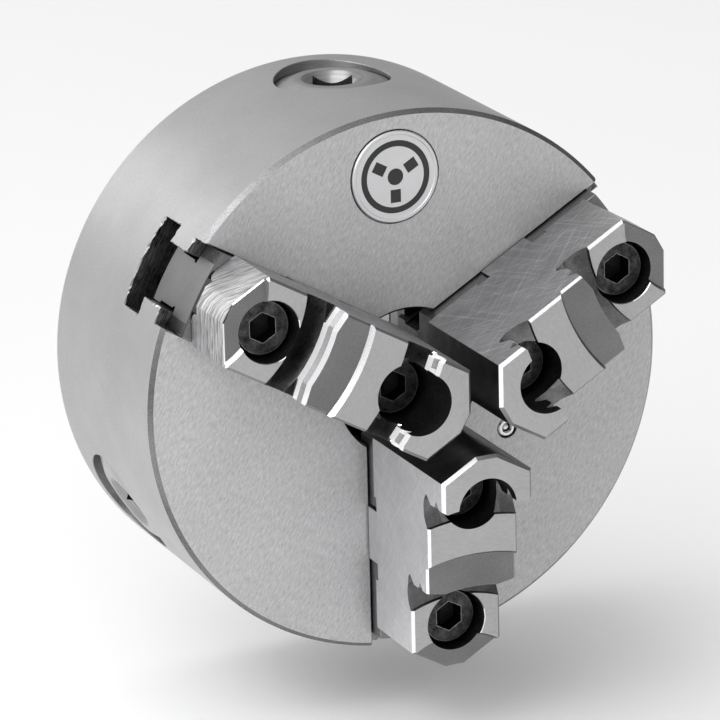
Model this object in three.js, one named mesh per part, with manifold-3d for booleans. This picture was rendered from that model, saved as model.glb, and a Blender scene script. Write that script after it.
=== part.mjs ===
// Three-jaw self-centring lathe chuck, 125 mm, with two-piece reversible jaws.
// Millimetres. The spindle axis is Y: the mounting face lies in the plane y = 0, the chuck face
// and the jaws look towards -Y, and +Z is up. The origin is the centre of the mounting face.
import * as THREE from 'three';
import { mergeVertices } from 'three/addons/utils/BufferGeometryUtils.js';
import Module from 'manifold-3d';

const wasm = await Module();
wasm.setup();

// ---------- driving dimensions ----------
const BODY_R = 62.5;
const BODY_DEPTH = 55;
const RIM_CHAMFER = 1;
const BORE_R = 16.8;
const REGISTER_R = 47.5; // centring recess of the mounting face
const REGISTER_DEPTH = 4;
const JAW_ANGLES = { 1: 30, 2: 150, 3: 270 }; // degrees from +X towards +Z
const PINION_ANGLES = { 1: 90, 2: 210, 3: 330 };
const GAP = 0.3; // clearance between pieces that touch
const SLIDE = 0.25; // clearance of the jaw guides

// jaw slots, depths below the chuck face
const SLOT_FRONT_HALF = 10.3;
const SLOT_RIB_HALF = 6.65;
const SLOT_REAR_HALF = 10.8;
const RIB_FRONT = 4.4;
const RIB_REAR = 13.2;
const SLOT_DEPTH = 21.2;

// scroll mechanism
const HUB_R = 24.5;
const CAVITY_FRONT = 17.2; // depth of the cavity's front wall below the chuck face
const SCROLL_R = 47;
const SCROLL_REAR = 28.2; // depth of the scroll's rear face, inside its crown teeth
const PITCH = 6; // spiral pitch: jaw travel for one turn of the scroll
const SPIRAL_TOOTH = 2.6;
const SPIRAL_HEIGHT = 3.5;
const SPIRAL_STEPS = 42; // straight steps in one turn
const SPIRAL_START_R = 25.6; // middle of the spiral tooth where it starts, at angle 0
const SPIRAL_TURNS = 3.4;
const PINION_DEPTH = 36.4; // pinion axis below the chuck face
const PINION_TEETH = 12;
const CROWN_TEETH = 54;
const PRESSURE = (25 * Math.PI) / 180;
const PINION_BORE_R = 13.25;
const PINION_HEAD_R = 12.95;
const PINION_END = 60.1; // place of the heads' rim, from which a cone rises to the key socket
const KEY_END = 61.6; // the raised end face round the key socket
const KEY_FACE_R = 9.3;
const KEY_TURN = -25; // the sockets stand turned from the chuck axis, in degrees
const STUB_R = 4.5;
const STUB_END = 19.9;
const NECK_R = 8; // pinion between gear and head
const GROOVE_HALF = 2.4; // the head's groove, which the pinion screw's tip runs in
const GROOVE_DEPTH = 2.8;
const KEY_SQUARE = 9;
const KEY_DEPTH = 15;
const KEY_MOUTH_R = 7; // the socket's mouth is a 45 degree cone
const MOUTH_DEPTH = 2.6;

// cover, screws and small pieces
const COVER_THICKNESS = 6;
const COVER_SCREW_CIRCLE = 20.65;
const COVER_SCREW_R = 2.2;
const COVER_SCREW_DEPTH = 22; // below the mounting face
const COVER_SINK_R = 2.9;
const COVER_SINK_DEPTH = 2.9;
const COVER_RELIEF_R = 32; // the cover is hollowed outside this radius to clear the pinion heads
const MOUNT_HOLE_CIRCLE = 54;
const MOUNT_HOLE_R = 3.4;
const MOUNT_HOLE_DEPTH = 16;
const PINION_SCREW_CIRCLE = 54.5;
const PINION_SCREW_HOLE_R = 3.2;
const BADGE_X = -2.1;
const BADGE_Z = 47.9;
const BADGE_R = 10.4;
const BADGE_RECESS = 0.5;
const OILER_X = 24.5;
const OILER_Z = -15.1;
const OILER_R = 2.1;
const BALL_R = 1.15;

// jaws, heights above the chuck face; radial places with the jaws as drawn, nearly closed
const SEAT = 3.85; // joint plane between master jaw and top jaw
const SEAT_PLAY = 0.1;
const JAW_HALF = 10.85;
const NOSE_R = 5.4;
const NOSE_HALF = 2.5;
const TAIL_R = 60.3;
const TAIL_HALF = 2.3;
const WEDGE = Math.tan(Math.PI / 6); // both jaw ends are 120 degree wedges
const STEP_CENTRE = 72; // the steps are turned about this radius, the chuck axis once reversed
const STEP_A = 22.5;
const STEP_C = 30.4;
const STEP_D = 31.7;
const STEP_E = 39.2;
const RECESS = STEP_A - 1.1; // the outermost strip lies lower
const WALL_INNER = 16.46; // gripping walls
const WALL_OUTER = 38.6;
const SCREW_INNER = 17.6;
const SCREW_OUTER = 49.6;
const FLOOR_INNER = 16.4; // counterbore floors
const FLOOR_OUTER = 10.4;
const COUNTERBORE_R = 7;
const HEAD_R = 6.5;
const HEAD_HEIGHT = 8;
const HEX_FLATS = 6;
const CROSS_TONGUE = 12.68; // width of the cross tongue
const LONG_TONGUE = 7.94; // width of the rib along the master jaw
const CROSS_MIDDLE = (SCREW_INNER + SCREW_OUTER) / 2;
const TONGUE_PLAY = 0.15;
const CROSS_FLOOR = 0.4; // floor of the master jaw's cross slot
const CROSS_TONGUE_END = 0.75;
const POCKET_DEPTH = 1.1; // hollows of the seat on both sides of the cross tongue
const POCKET_INNER = 3.4;
const POCKET_OUTER = 4;
const MASTER_NOSE_R = 7.2;
const MASTER_TAIL_R = 59.2; // the outer end is turned to this radius
const NECK_REAR = 15; // depth of the neck, which joins the foot behind the ribs
const RIB_HEIGHT = 3; // long tongue above the seat
const FOOT_TAIL_R = 52;
const FOOT_SET_BACK = 1; // the foot starts behind the master jaw's nose
const THREAD_R = 4; // M8
const SHANK_R = 3.9;
const JAW_TOOTH = 2.4;
const JAW_TOOTH_HALF = 6.5;

const FACE = -BODY_DEPTH;
const above = (height) => FACE - height;
const below = (depth) => FACE + depth;
const PINION_Y = below(PINION_DEPTH);
const radians = (degrees) => (degrees * Math.PI) / 180;

// ---------- materials ----------
const steel = (color, roughness) => new THREE.MeshStandardMaterial({ color, roughness, metalness: 1 });
const GROUND = steel(0xb4b5b6, 0.35);
const CAST = steel(0x9c9d9e, 0.42);
const HARDENED = steel(0x8f9092, 0.3);
const DARK = steel(0x55565a, 0.5);
const BLACK = steel(0x1c1c1e, 0.45);
const PLATE = steel(0xd2d3d4, 0.3);

// ---------- solids ----------
function solid(geometry) {
  const bare = geometry.index ? geometry.toNonIndexed() : geometry.clone();
  bare.deleteAttribute('normal');
  bare.deleteAttribute('uv');
  const merged = mergeVertices(bare, 1e-4);
  const triVerts = [];
  const index = merged.index.array;
  for (let i = 0; i < index.length; i += 3) {
    const [a, b, c] = [index[i], index[i + 1], index[i + 2]];
    if (a !== b && b !== c && c !== a) triVerts.push(a, b, c);
  }
  const vertProperties = new Float32Array(merged.attributes.position.array);
  const make = (tris) =>
    new wasm.Manifold(new wasm.Mesh({ numProp: 3, vertProperties, triVerts: new Uint32Array(tris) }));
  const made = make(triVerts);
  if (made.volume() > 0) return made;
  const flipped = [];
  for (let i = 0; i < triVerts.length; i += 3) {
    flipped.push(triVerts[i], triVerts[i + 2], triVerts[i + 1]);
  }
  return make(flipped);
}

function box(x0, x1, y0, y1, z0, z1) {
  const g = new THREE.BoxGeometry(x1 - x0, y1 - y0, z1 - z0);
  return solid(g.translate((x0 + x1) / 2, (y0 + y1) / 2, (z0 + z1) / 2));
}

function lathe(profile, segments) {
  const points = profile.map(([r, y]) => new THREE.Vector2(r, y));
  return solid(new THREE.LatheGeometry([...points, points[0]], segments));
}

function rodY(r, y0, y1, x, z, segments = 24) {
  const g = new THREE.CylinderGeometry(r, r, y1 - y0, segments);
  return solid(g.translate(x, (y0 + y1) / 2, z));
}

function rodX(r, x0, x1, y, segments = 24, endR = r) {
  const g = new THREE.CylinderGeometry(endR, r, x1 - x0, segments);
  return solid(g.rotateZ(-Math.PI / 2).translate((x0 + x1) / 2, y, 0));
}

function shapeOf(points) {
  return new THREE.Shape(points.map(([a, b]) => new THREE.Vector2(a, b)));
}

// an outline in the x-z plane, extended from y0 to y1
function plan(points, y0, y1) {
  const g = new THREE.ExtrudeGeometry(shapeOf(points), { depth: y1 - y0, bevelEnabled: false });
  return solid(g.rotateX(Math.PI / 2).translate(0, y1, 0));
}

// an outline in the y-z plane, extended from x0 to x1
function alongX(points, x0, x1) {
  const shape = shapeOf(points.map(([y, z]) => [-z, y]));
  const g = new THREE.ExtrudeGeometry(shape, { depth: x1 - x0, bevelEnabled: false });
  return solid(g.rotateY(Math.PI / 2).translate(x0, 0, 0));
}

// a mirrored outline: the points given for +z, then the same ones backwards for -z
const mirrored = (points) => [...points, ...points.map(([a, b]) => [a, -b]).reverse()];

const turned = (piece, degrees) => piece.rotate([0, -degrees, 0]);
const union = (pieces) => pieces.reduce((sum, piece) => sum.add(piece));
const cut = (piece, cutters) => cutters.reduce((rest, cutter) => rest.subtract(cutter), piece);

function mesh(name, made, material, degrees = 0) {
  const data = made.getMesh();
  const geometry = new THREE.BufferGeometry();
  geometry.setAttribute('position', new THREE.BufferAttribute(new Float32Array(data.vertProperties), 3));
  geometry.setIndex(new THREE.BufferAttribute(new Uint32Array(data.triVerts), 1));
  geometry.computeVertexNormals();
  const node = new THREE.Mesh(geometry, material);
  node.name = name;
  node.rotation.y = -radians(degrees);
  return node;
}

// ---------- body ----------
function slotProfile() {
  return mirrored([
    [above(2), SLOT_FRONT_HALF],
    [below(RIB_FRONT), SLOT_FRONT_HALF],
    [below(RIB_FRONT), SLOT_RIB_HALF],
    [below(RIB_REAR), SLOT_RIB_HALF],
    [below(RIB_REAR), SLOT_REAR_HALF],
    [below(SLOT_DEPTH), SLOT_REAR_HALF],
  ]);
}

const COVER_FRONT = -REGISTER_DEPTH - COVER_THICKNESS;

function bodySolid() {
  const hubEnd = COVER_FRONT - GAP;
  const blank = lathe(
    [
      [BORE_R, FACE],
      [BODY_R - RIM_CHAMFER, FACE],
      [BODY_R, FACE + RIM_CHAMFER],
      [BODY_R, -RIM_CHAMFER],
      [BODY_R - RIM_CHAMFER, 0],
      [REGISTER_R, 0],
      [REGISTER_R, below(CAVITY_FRONT)],
      [HUB_R, below(CAVITY_FRONT)],
      [HUB_R, hubEnd],
      [BORE_R, hubEnd],
    ],
    72,
  );
  const cutters = [];
  for (const angle of Object.values(JAW_ANGLES)) {
    const slot = alongX(slotProfile(), 0, BODY_R + 2);
    const screwHole = rodY(COVER_SCREW_R, -COVER_SCREW_DEPTH, hubEnd + 1, COVER_SCREW_CIRCLE, 0, 12);
    const mountHole = rodY(MOUNT_HOLE_R, -MOUNT_HOLE_DEPTH, 1, MOUNT_HOLE_CIRCLE, 0, 16);
    cutters.push(...[slot, screwHole, mountHole].map((c) => turned(c, angle)));
  }
  for (const angle of Object.values(PINION_ANGLES)) {
    const pinionBore = rodX(PINION_BORE_R, REGISTER_R - 1, BODY_R + 2, PINION_Y, 36);
    const stubBore = rodX(STUB_R + SLIDE, STUB_END - 0.4, HUB_R + 1, PINION_Y, 16);
    const screwHole = rodY(PINION_SCREW_HOLE_R, PINION_Y, 1, PINION_SCREW_CIRCLE, 0, 16);
    cutters.push(...[pinionBore, stubBore, screwHole].map((c) => turned(c, angle)));
  }
  cutters.push(rodY(OILER_R + GAP, above(1), below(CAVITY_FRONT + 1), OILER_X, OILER_Z, 16));
  cutters.push(rodY(BADGE_R + GAP, above(1), below(BADGE_RECESS), BADGE_X, BADGE_Z, 32));
  return cut(blank, cutters);
}

// ---------- rear cover and screws ----------
function coverSolid() {
  const ring = lathe(
    [
      [BORE_R, COVER_FRONT],
      [REGISTER_R - GAP, COVER_FRONT],
      [REGISTER_R - GAP, -REGISTER_DEPTH],
      [BORE_R, -REGISTER_DEPTH],
    ],
    72,
  );
  const cutters = [];
  for (const angle of Object.values(PINION_ANGLES)) {
    cutters.push(turned(rodX(PINION_HEAD_R - 1, COVER_RELIEF_R, REGISTER_R + 1, PINION_Y, 24), angle));
  }
  for (const angle of Object.values(JAW_ANGLES)) {
    const hole = rodY(COVER_SCREW_R, COVER_FRONT - 1, 0, COVER_SCREW_CIRCLE, 0, 12);
    const sink = rodY(COVER_SINK_R, -REGISTER_DEPTH - COVER_SINK_DEPTH, 0, COVER_SCREW_CIRCLE, 0, 16);
    cutters.push(turned(hole, angle), turned(sink, angle));
  }
  return cut(ring, cutters);
}

// a cap or set screw along Y, its head's top at y = 0 with the hexagon socket facing +Y
function screw({ headR, headLength, shankR, shankLength, hexFlats, socketDepth }, segments) {
  const head = rodY(headR, -headLength, 0, 0, 0, segments);
  const shank = rodY(shankR, -headLength - shankLength, -headLength + 0.5, 0, 0, segments);
  const hexR = hexFlats / 2 / Math.cos(Math.PI / 6);
  return head.add(shank).subtract(rodY(hexR, -socketDepth, 1, 0, 0, 6));
}

const COVER_SCREW = {
  headR: 2.6,
  headLength: 2.2,
  shankR: 1.9,
  shankLength: 11.5,
  hexFlats: 2.5,
  socketDepth: 1.6,
};
const PINION_SCREW = {
  headR: 2.9,
  headLength: 4.6,
  shankR: 1.9,
  shankLength: 2.9,
  hexFlats: 3,
  socketDepth: 2.4,
};
const coverScrew = () =>
  screw(COVER_SCREW, 16).translate([COVER_SCREW_CIRCLE, -REGISTER_DEPTH - 0.4, 0]);
const pinionScrew = () => screw(PINION_SCREW, 16).translate([PINION_SCREW_CIRCLE, -GAP, 0]);

// ---------- scroll plate ----------
const ratio = PINION_TEETH / CROWN_TEETH;

// radial run of a straight bevel tooth: its section is scaled from the apex on the chuck axis
function bevelTooth(section, rInner, rOuter) {
  const points = [];
  for (const r of [rInner, rOuter]) {
    for (const [across, along] of section) {
      points.push(new THREE.Vector3(r, PINION_Y + along * r, across * r));
    }
  }
  const n = section.length;
  const tris = [];
  for (let i = 0; i < n; i += 1) {
    const j = (i + 1) % n;
    tris.push(i, j, n + j, i, n + j, n + i);
  }
  for (let i = 1; i < n - 1; i += 1) tris.push(0, i + 1, i, n, n + i, n + i + 1);
  const geometry = new THREE.BufferGeometry().setFromPoints(points);
  geometry.setIndex(tris);
  return solid(geometry);
}

const ADDENDUM = 0.8;
const DEDENDUM = 1;
const CROWN_DEDENDUM = 1.15;
const moduleAt = (2 * ratio) / PINION_TEETH; // tooth module for each mm of radius
const BACKLASH = 0.16; // share of the tooth thickness taken off for running clearance
const CROWN_IN = 34.6;
const CROWN_OUT = 45.6;

function crownTooth() {
  const half = ((Math.PI * moduleAt) / 4) * (1 - BACKLASH);
  const tip = ADDENDUM * moduleAt;
  const root = CROWN_DEDENDUM * moduleAt;
  const slope = Math.tan(PRESSURE);
  return bevelTooth(
    [
      [half + root * slope, -ratio - root],
      [half - tip * slope, -ratio + tip],
      [-half + tip * slope, -ratio + tip],
      [-half - root * slope, -ratio - root],
    ],
    CROWN_IN,
    CROWN_OUT,
  );
}

function spiralSolid(y0, y1) {
  const steps = Math.round(SPIRAL_TURNS * SPIRAL_STEPS);
  const edge = (offset) => {
    const points = [];
    for (let i = 0; i <= steps; i += 1) {
      const angle = (2 * Math.PI * i) / SPIRAL_STEPS;
      const r = SPIRAL_START_R + (PITCH * angle) / (2 * Math.PI) + offset;
      points.push([r * Math.cos(angle), r * Math.sin(angle)]);
    }
    return points;
  };
  const outline = [...edge(SPIRAL_TOOTH / 2), ...edge(-SPIRAL_TOOTH / 2).reverse()];
  return plan(outline, y0, y1);
}

function scrollSolid() {
  const inner = HUB_R + GAP;
  const tips = below(CAVITY_FRONT + GAP);
  const root = tips + SPIRAL_HEIGHT;
  const rootAt = (r) => PINION_Y - r * (ratio + DEDENDUM * moduleAt);
  const disc = lathe(
    [
      [inner, root],
      [SCROLL_R, root],
      [SCROLL_R, rootAt(CROWN_OUT)],
      [CROWN_OUT, rootAt(CROWN_OUT)],
      [CROWN_IN - 1, rootAt(CROWN_IN - 1)],
      [CROWN_IN - 1.2, below(SCROLL_REAR)],
      [inner, below(SCROLL_REAR)],
    ],
    CROWN_TEETH,
  );
  const bandOutline = [
    [inner, tips - 1],
    [SCROLL_R, tips - 1],
    [SCROLL_R, root + 1],
    [inner, root + 1],
  ];
  const band = lathe(bandOutline, CROWN_TEETH);
  const spiral = spiralSolid(tips, root + 0.2).intersect(band);
  const teeth = [];
  for (let i = 0; i < CROWN_TEETH; i += 1) {
    teeth.push(turned(crownTooth(), PINION_ANGLES[1] + ((i + 0.5) * 360) / CROWN_TEETH));
  }
  return union([disc, spiral, ...teeth]);
}

// ---------- pinions ----------
// half outline of one pinion tooth about angle 0, for each mm of radius: an involute from root to tip
function pinionProfile() {
  const pitchR = ratio;
  const baseR = pitchR * Math.cos(PRESSURE);
  const tipR = pitchR + ADDENDUM * moduleAt;
  const rootR = pitchR - DEDENDUM * moduleAt;
  const inv = (a) => Math.tan(a) - a;
  const halfPitch = (Math.PI / (2 * PINION_TEETH)) * (1 - BACKLASH);
  const halfAt = (r) => {
    const pressure = Math.acos(Math.min(1, baseR / r));
    return halfPitch + inv(PRESSURE) - inv(pressure);
  };
  const flankFrom = Math.max(rootR, baseR);
  const radii = [rootR, pitchR, tipR];
  const outline = [];
  for (let tooth = 0; tooth < PINION_TEETH; tooth += 1) {
    const middle = (2 * Math.PI * tooth) / PINION_TEETH;
    const side = radii.map((r) => [r, halfAt(Math.max(r, flankFrom))]);
    for (const [r, half] of side) outline.push([r, middle - half]);
    for (const [r, half] of [...side].reverse()) outline.push([r, middle + half]);
  }
  return outline.map(([r, angle]) => [r * Math.sin(angle), -r * Math.cos(angle)]);
}

function pinionGear(rInner, rOuter) {
  const outline = pinionProfile();
  const flat = new THREE.ExtrudeGeometry(shapeOf(outline), { depth: 1, bevelEnabled: false });
  const position = flat.attributes.position;
  for (let i = 0; i < position.count; i += 1) {
    const r = position.getZ(i) > 0.5 ? rOuter : rInner;
    position.setXYZ(i, r, PINION_Y + position.getY(i) * r, position.getX(i) * r);
  }
  return solid(flat);
}

function pinionSolid() {
  const gearIn = CROWN_IN - 0.6;
  const headIn = REGISTER_R + 0.6;
  const grooveIn = PINION_SCREW_CIRCLE - GROOVE_HALF;
  const grooveOut = PINION_SCREW_CIRCLE + GROOVE_HALF;
  const head = union([
    rodX(PINION_HEAD_R, headIn, grooveIn, PINION_Y, 32),
    rodX(PINION_HEAD_R - GROOVE_DEPTH, grooveIn - 1, grooveOut + 1, PINION_Y, 24),
    rodX(PINION_HEAD_R, grooveOut, PINION_END, PINION_Y, 32),
    rodX(PINION_HEAD_R, PINION_END, KEY_END, PINION_Y, 32, KEY_FACE_R),
  ]);
  const neck = rodX(NECK_R, CROWN_OUT - 1, headIn + 1, PINION_Y, 16);
  const stub = rodX(STUB_R, STUB_END, gearIn + 1, PINION_Y, 16);
  const half = KEY_SQUARE / 2;
  const floor = PINION_END - KEY_DEPTH;
  const square = box(floor, KEY_END + 1, -half, half, -half, half);
  const socket = square.rotate([KEY_TURN, 0, 0]).translate([0, PINION_Y, 0]);
  const throatR = KEY_MOUTH_R - MOUTH_DEPTH;
  const throat = KEY_END - MOUTH_DEPTH;
  const mouth = rodX(throatR, throat, KEY_END + 0.01, PINION_Y, 24, KEY_MOUTH_R);
  return cut(union([pinionGear(gearIn, CROWN_OUT + 0.2), neck, head, stub]), [socket, mouth]);
}

// ---------- jaws ----------
const wedgeEnd = (tip, tipHalf, half, sign) => [
  [tip, tipHalf],
  [tip + sign * (half - tipHalf) * WEDGE, half],
];

// outer end turned about the chuck axis
const turnedEnd = (radius, half) =>
  [0.2, 0.4, 0.6, 0.8, 1].map((part) => [Math.sqrt(radius ** 2 - (part * half) ** 2), part * half]);

const jawOutline = (nose, tail) => mirrored([...nose, ...[...tail].reverse()]);

// one of the curved teeth that run in the spiral groove, centred on radius r of the jaw's middle line
function jawTooth(r, y0, y1) {
  const curve = 35; // mean radius of the spiral
  const slope = PITCH / (2 * Math.PI * curve);
  const line = (offset) => {
    const points = [];
    for (let i = -3; i <= 3; i += 1) {
      const z = (JAW_TOOTH_HALF * i) / 3;
      points.push([r + offset - (z * z) / (2 * curve) + slope * z, z]);
    }
    return points;
  };
  return plan([...line(JAW_TOOTH / 2), ...line(-JAW_TOOTH / 2).reverse()], y0, y1);
}

function masterJawSolid(angle) {
  const wingHalf = SLOT_FRONT_HALF - SLIDE;
  const neckHalf = SLOT_RIB_HALF - SLIDE;
  const footHalf = SLOT_REAR_HALF - SLIDE;
  const footFace = below(CAVITY_FRONT);
  const footNose = MASTER_NOSE_R + FOOT_SET_BACK;
  const outline = jawOutline(
    wedgeEnd(MASTER_NOSE_R, NOSE_HALF, wingHalf, 1),
    turnedEnd(MASTER_TAIL_R, wingHalf),
  );
  const footOutline = jawOutline(
    wedgeEnd(footNose, NOSE_HALF, footHalf, 1),
    wedgeEnd(FOOT_TAIL_R, footHalf - 0.5, footHalf, -1),
  );
  const strip = (half, y0, y1) =>
    plan(outline, y0, y1).intersect(box(footNose, BODY_R, y0, y1, -half, half));
  const wings = plan(outline, above(SEAT), below(RIB_FRONT - SLIDE));
  const neck = strip(neckHalf, below(RIB_FRONT - 1), below(NECK_REAR));
  const foot = plan(footOutline, below(RIB_REAR + SLIDE), footFace);
  const rib = strip(LONG_TONGUE / 2, above(SEAT + RIB_HEIGHT), above(SEAT - 1));
  const crossHalf = CROSS_TONGUE / 2 + TONGUE_PLAY;
  const [crossIn, crossOut] = [CROSS_MIDDLE - crossHalf, CROSS_MIDDLE + crossHalf];
  const cross = box(crossIn, crossOut, above(20), above(CROSS_FLOOR), -20, 20);
  const threadEnd = below(11);
  const holes = [SCREW_INNER, SCREW_OUTER].map((r) =>
    rodY(THREAD_R + GAP, above(10), threadEnd, r, 0, 16),
  );
  // the spiral's groove crosses this jaw at radii one pitch apart, starting from here
  const start = SPIRAL_START_R + (PITCH * angle) / 360 + PITCH / 2;
  const teeth = [];
  for (let r = start - 3 * PITCH; r < FOOT_TAIL_R - 2; r += PITCH) {
    if (r > MASTER_NOSE_R + 4.5) teeth.push(jawTooth(r, footFace - 0.5, footFace + SPIRAL_HEIGHT));
  }
  return cut(union([wings, neck, foot, rib, ...teeth]), [cross, ...holes]);
}

// step outline of the top jaw at its middle line: radius and height above the chuck face
function jawSteps() {
  return [
    [WALL_INNER, STEP_E],
    [WALL_INNER, STEP_E - 2.2],
    [WALL_INNER - 1.8, STEP_E - 3.5],
    [WALL_INNER, STEP_E - 4.6],
    [WALL_INNER, STEP_D + 0.4],
    [WALL_INNER - 2, STEP_D - 0.9],
    [WALL_INNER - 1.4, STEP_D - 1.9],
    [WALL_INNER + 0.4, STEP_D - 2.4],
    [WALL_INNER + 3, STEP_D - 2.1],
    [21.7, STEP_D - 0.8],
    [21.9, STEP_D],
    [30.4, STEP_D],
    [31.2, STEP_C],
    [WALL_OUTER, STEP_C],
    [WALL_OUTER, STEP_C - 2.4],
    [WALL_OUTER - 1.8, STEP_C - 3.5],
    [WALL_OUTER, STEP_C - 4.7],
    [WALL_OUTER, STEP_A + 0.8],
    [WALL_OUTER - 1.7, STEP_A - 1],
    [WALL_OUTER - 1.1, STEP_A - 1.9],
    [WALL_OUTER + 0.6, STEP_A - 2.3],
    [WALL_OUTER + 2.6, STEP_A - 2],
    [43.1, STEP_A - 0.9],
    [43.3, STEP_A],
    [52.5, STEP_A],
    [53.1, RECESS],
  ];
}

function topJawSolid() {
  const seat = SEAT + SEAT_PLAY;
  const ring = [[2, STEP_E], ...jawSteps(), [64, RECESS], [64, seat], [2, seat]];
  const stepped = lathe(ring.map(([r, h]) => [STEP_CENTRE - r, above(h)]), 72);
  const outline = jawOutline(
    wedgeEnd(NOSE_R, NOSE_HALF, JAW_HALF, 1),
    wedgeEnd(TAIL_R, TAIL_HALF, JAW_HALF, -1),
  );
  const block = plan(outline, above(STEP_E + 1), above(seat - 1));
  const blank = stepped.translate([STEP_CENTRE, 0, 0]).intersect(block);
  const crossHalf = CROSS_TONGUE / 2 - TONGUE_PLAY;
  const [crossIn, crossOut] = [CROSS_MIDDLE - crossHalf, CROSS_MIDDLE + crossHalf];
  const tongue = box(crossIn, crossOut, above(seat + 2), above(CROSS_TONGUE_END), -JAW_HALF, JAW_HALF);
  const pocket = (r0, r1) => box(r0, r1, above(seat + POCKET_DEPTH), above(seat - 5), -20, 20);
  const pockets = [pocket(crossIn - POCKET_INNER, crossIn), pocket(crossOut, crossOut + POCKET_OUTER)];
  const grooveHalf = LONG_TONGUE / 2 + TONGUE_PLAY;
  const groove = box(0, 70, above(SEAT + RIB_HEIGHT + GAP), above(-5), -grooveHalf, grooveHalf);
  const holes = [
    [SCREW_INNER, FLOOR_INNER],
    [SCREW_OUTER, FLOOR_OUTER],
  ].flatMap(([r, floor]) => [
    rodY(THREAD_R + 0.5, above(50), above(-5), r, 0, 16),
    rodY(COUNTERBORE_R, above(50), above(floor), r, 0, 28),
  ]);
  // flats that break the ends of the two gripping walls
  const flats = [];
  for (const side of [1, -1]) {
    const flat = (points, low, high) =>
      flats.push(plan(points.map(([r, z]) => [r, z * side]), above(high), above(low)));
    flat([[39.2, 6.3], [38.4, 11], [42, 12], [42, 6.3]], STEP_A - 1.4, STEP_C + 1);
    flat([[17.4, 9.6], [16.6, 11], [19, 12], [19, 9.6]], STEP_D - 1.4, STEP_E + 1);
  }
  return cut(blank, [...holes, ...flats, ...pockets]).add(tongue).subtract(groove);
}

const JAW_SCREW = {
  headR: HEAD_R,
  headLength: HEAD_HEIGHT,
  shankR: SHANK_R,
  hexFlats: HEX_FLATS,
  socketDepth: 4,
};

function jawScrew(radius, floor, shankLength) {
  const made = screw({ ...JAW_SCREW, shankLength }, 20).rotate([180, 0, 0]);
  return made.translate([radius, above(floor + GAP / 2 + HEAD_HEIGHT), 0]);
}

// ---------- badge and oiler ----------
const badgeSolid = () => rodY(BADGE_R, above(0.45), below(0.2), BADGE_X, BADGE_Z, 32);

function oilerCupSolid() {
  const cup = rodY(OILER_R, below(0.1), below(7), OILER_X, OILER_Z, 16);
  return cut(cup, [
    rodY(1.3, below(0.6), below(4.2), OILER_X, OILER_Z, 12),
    rodY(0.95, above(1), below(0.7), OILER_X, OILER_Z, 12),
    rodY(0.6, below(4), below(8), OILER_X, OILER_Z, 8),
  ]);
}

function oilerBallSolid() {
  const ball = new THREE.SphereGeometry(BALL_R, 12, 8);
  return solid(ball.translate(OILER_X, below(1.6), OILER_Z));
}

// ---------- assembly ----------
const chuck = new THREE.Group();
chuck.add(mesh('body', bodySolid(), CAST));
chuck.add(mesh('rear_cover', coverSolid(), DARK));
chuck.add(mesh('scroll_plate', scrollSolid(), HARDENED));
chuck.add(mesh('badge', badgeSolid(), PLATE));
chuck.add(mesh('oiler_cup', oilerCupSolid(), PLATE));
chuck.add(mesh('oiler_ball', oilerBallSolid(), HARDENED));

for (const [number, angle] of Object.entries(PINION_ANGLES)) {
  chuck.add(mesh(`pinion_${number}`, pinionSolid(), HARDENED, angle));
  chuck.add(mesh(`pinion_screw_${number}`, pinionScrew(), BLACK, angle));
}

for (const [number, angle] of Object.entries(JAW_ANGLES)) {
  chuck.add(mesh(`cover_screw_${number}`, coverScrew(), BLACK, angle));
  chuck.add(mesh(`master_jaw_${number}`, masterJawSolid(angle), HARDENED, angle));
  chuck.add(mesh(`top_jaw_${number}`, topJawSolid(), GROUND, angle));
  chuck.add(mesh(`jaw_screw_inner_${number}`, jawScrew(SCREW_INNER, FLOOR_INNER, 22), BLACK, angle));
  chuck.add(mesh(`jaw_screw_outer_${number}`, jawScrew(SCREW_OUTER, FLOOR_OUTER, 16), BLACK, angle));
}

export default chuck;
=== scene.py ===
# Looks of the 125 mm three-jaw lathe chuck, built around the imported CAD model.
# Shapes are made in millimetres in the CAD frame (spindle axis Y, chuck face towards -Y, +Z up)
# and scaled to metres when a piece is finished. A jaw or pinion is made pointing along +X and
# then turned to its place.
import math
import random

import bmesh
import bpy
import numpy as np
from mathutils import Matrix, Vector


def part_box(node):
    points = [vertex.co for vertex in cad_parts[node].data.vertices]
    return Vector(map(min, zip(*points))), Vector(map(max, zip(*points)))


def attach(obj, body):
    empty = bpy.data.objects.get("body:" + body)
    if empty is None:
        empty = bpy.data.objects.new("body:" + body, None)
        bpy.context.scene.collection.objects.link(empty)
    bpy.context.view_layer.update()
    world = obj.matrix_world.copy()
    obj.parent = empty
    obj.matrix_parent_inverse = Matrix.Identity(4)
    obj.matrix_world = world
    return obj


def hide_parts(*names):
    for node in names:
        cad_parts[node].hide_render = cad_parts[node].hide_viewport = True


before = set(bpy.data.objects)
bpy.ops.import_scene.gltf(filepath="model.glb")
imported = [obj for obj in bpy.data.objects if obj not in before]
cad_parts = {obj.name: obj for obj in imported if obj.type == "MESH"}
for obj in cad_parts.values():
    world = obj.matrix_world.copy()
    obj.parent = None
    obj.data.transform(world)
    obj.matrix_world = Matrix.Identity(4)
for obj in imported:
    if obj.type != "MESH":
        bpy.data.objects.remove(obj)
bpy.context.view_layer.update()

MM = 0.001
RANDOM = random.Random(5)  # for the uneven edges of the jaw slots


def extent(node):
    low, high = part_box(node)
    return [c / MM for c in low], [c / MM for c in high]


# ---------------------------------------------------------------- sizes
body_low, body_high = extent("body")
BODY_R = body_high[0]
FACE = body_low[1]
JAWS = {1: 30, 2: 150, 3: 270}
PINIONS = {1: 90, 2: 210, 3: 330}
TAN30 = math.tan(math.radians(30))
COS30 = math.cos(math.radians(30))

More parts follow.
